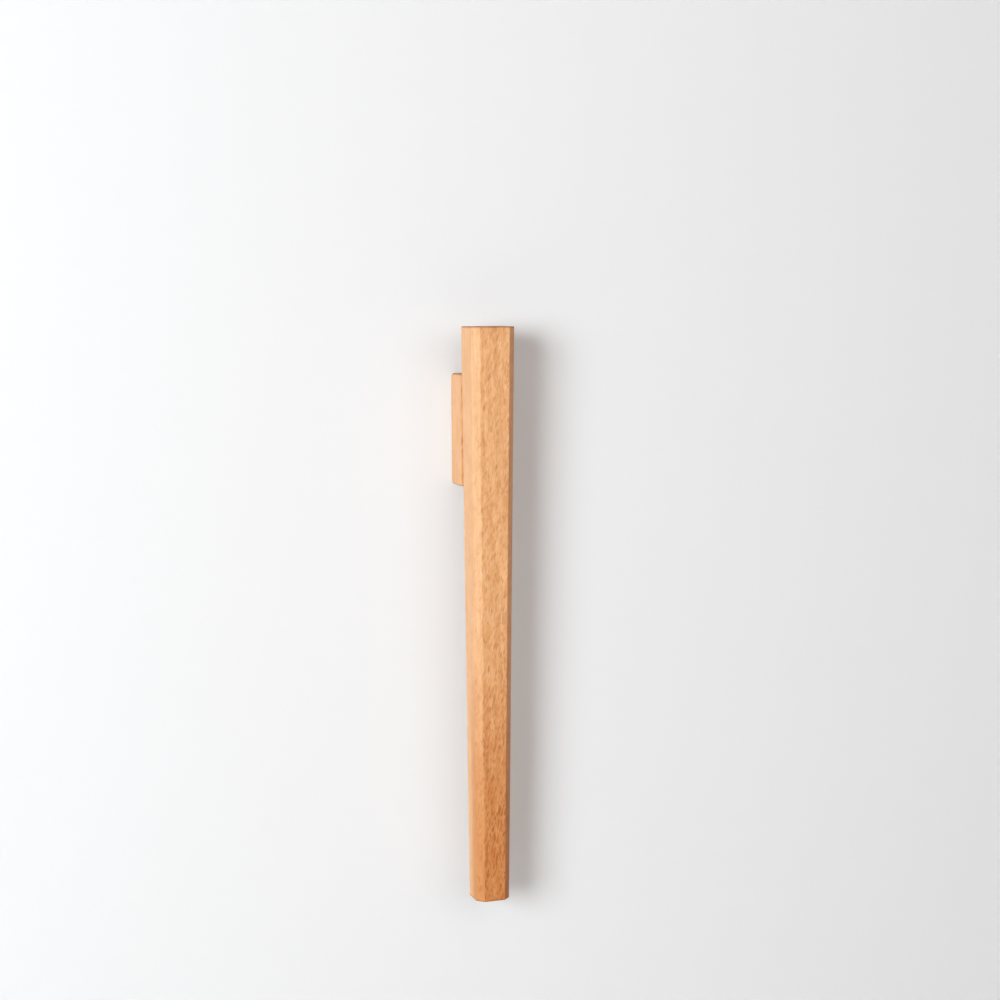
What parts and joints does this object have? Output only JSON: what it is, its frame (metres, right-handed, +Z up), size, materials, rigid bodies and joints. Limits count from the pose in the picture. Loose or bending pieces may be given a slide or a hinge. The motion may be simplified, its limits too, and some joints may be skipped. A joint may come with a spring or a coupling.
{
  "type": "wall vase",
  "caption": "Slender tapered beech bar vase with chamfered edges and a removable glass tube, held by magnets on a beech block that hangs on a wall.",
  "frame": {"origin": "centre of the wall block's back face, where it meets the wall", "axes": "+Z up along the bar, +Y into the wall, +X to the right as seen from the room"},
  "size_m": [0.028, 0.047, 0.36],
  "materials": {
    "beech": "fine sanded and oiled, satin",
    "clear_glass": "fire polished",
    "nickel_plating": "bright nickel plate",
    "zinced_steel": "zinc plate, satin"
  },
  "bodies": {
    "wall_side": {"wall_block": "beech", "keyhole_plate": "zinced_steel", "plate_screw_upper": "zinced_steel", "plate_screw_lower": "zinced_steel", "block_magnet_upper": "nickel_plating", "block_magnet_lower": "nickel_plating"},
    "vase": {"vase_body": "beech", "body_magnet_upper": "nickel_plating", "body_magnet_lower": "nickel_plating"},
    "tube": {"water_tube": "clear_glass"}
  },
  "joints": [
    {"name": "vase_pull", "type": "slide", "parent": "wall_side", "child": "vase", "axis": [0, -1, 0], "range_m": [0, 0.08]},
    {"name": "tube_lift", "type": "slide", "parent": "vase", "child": "tube", "axis": [0, 0, 1], "range_m": [0, 0.16]}
  ]
}
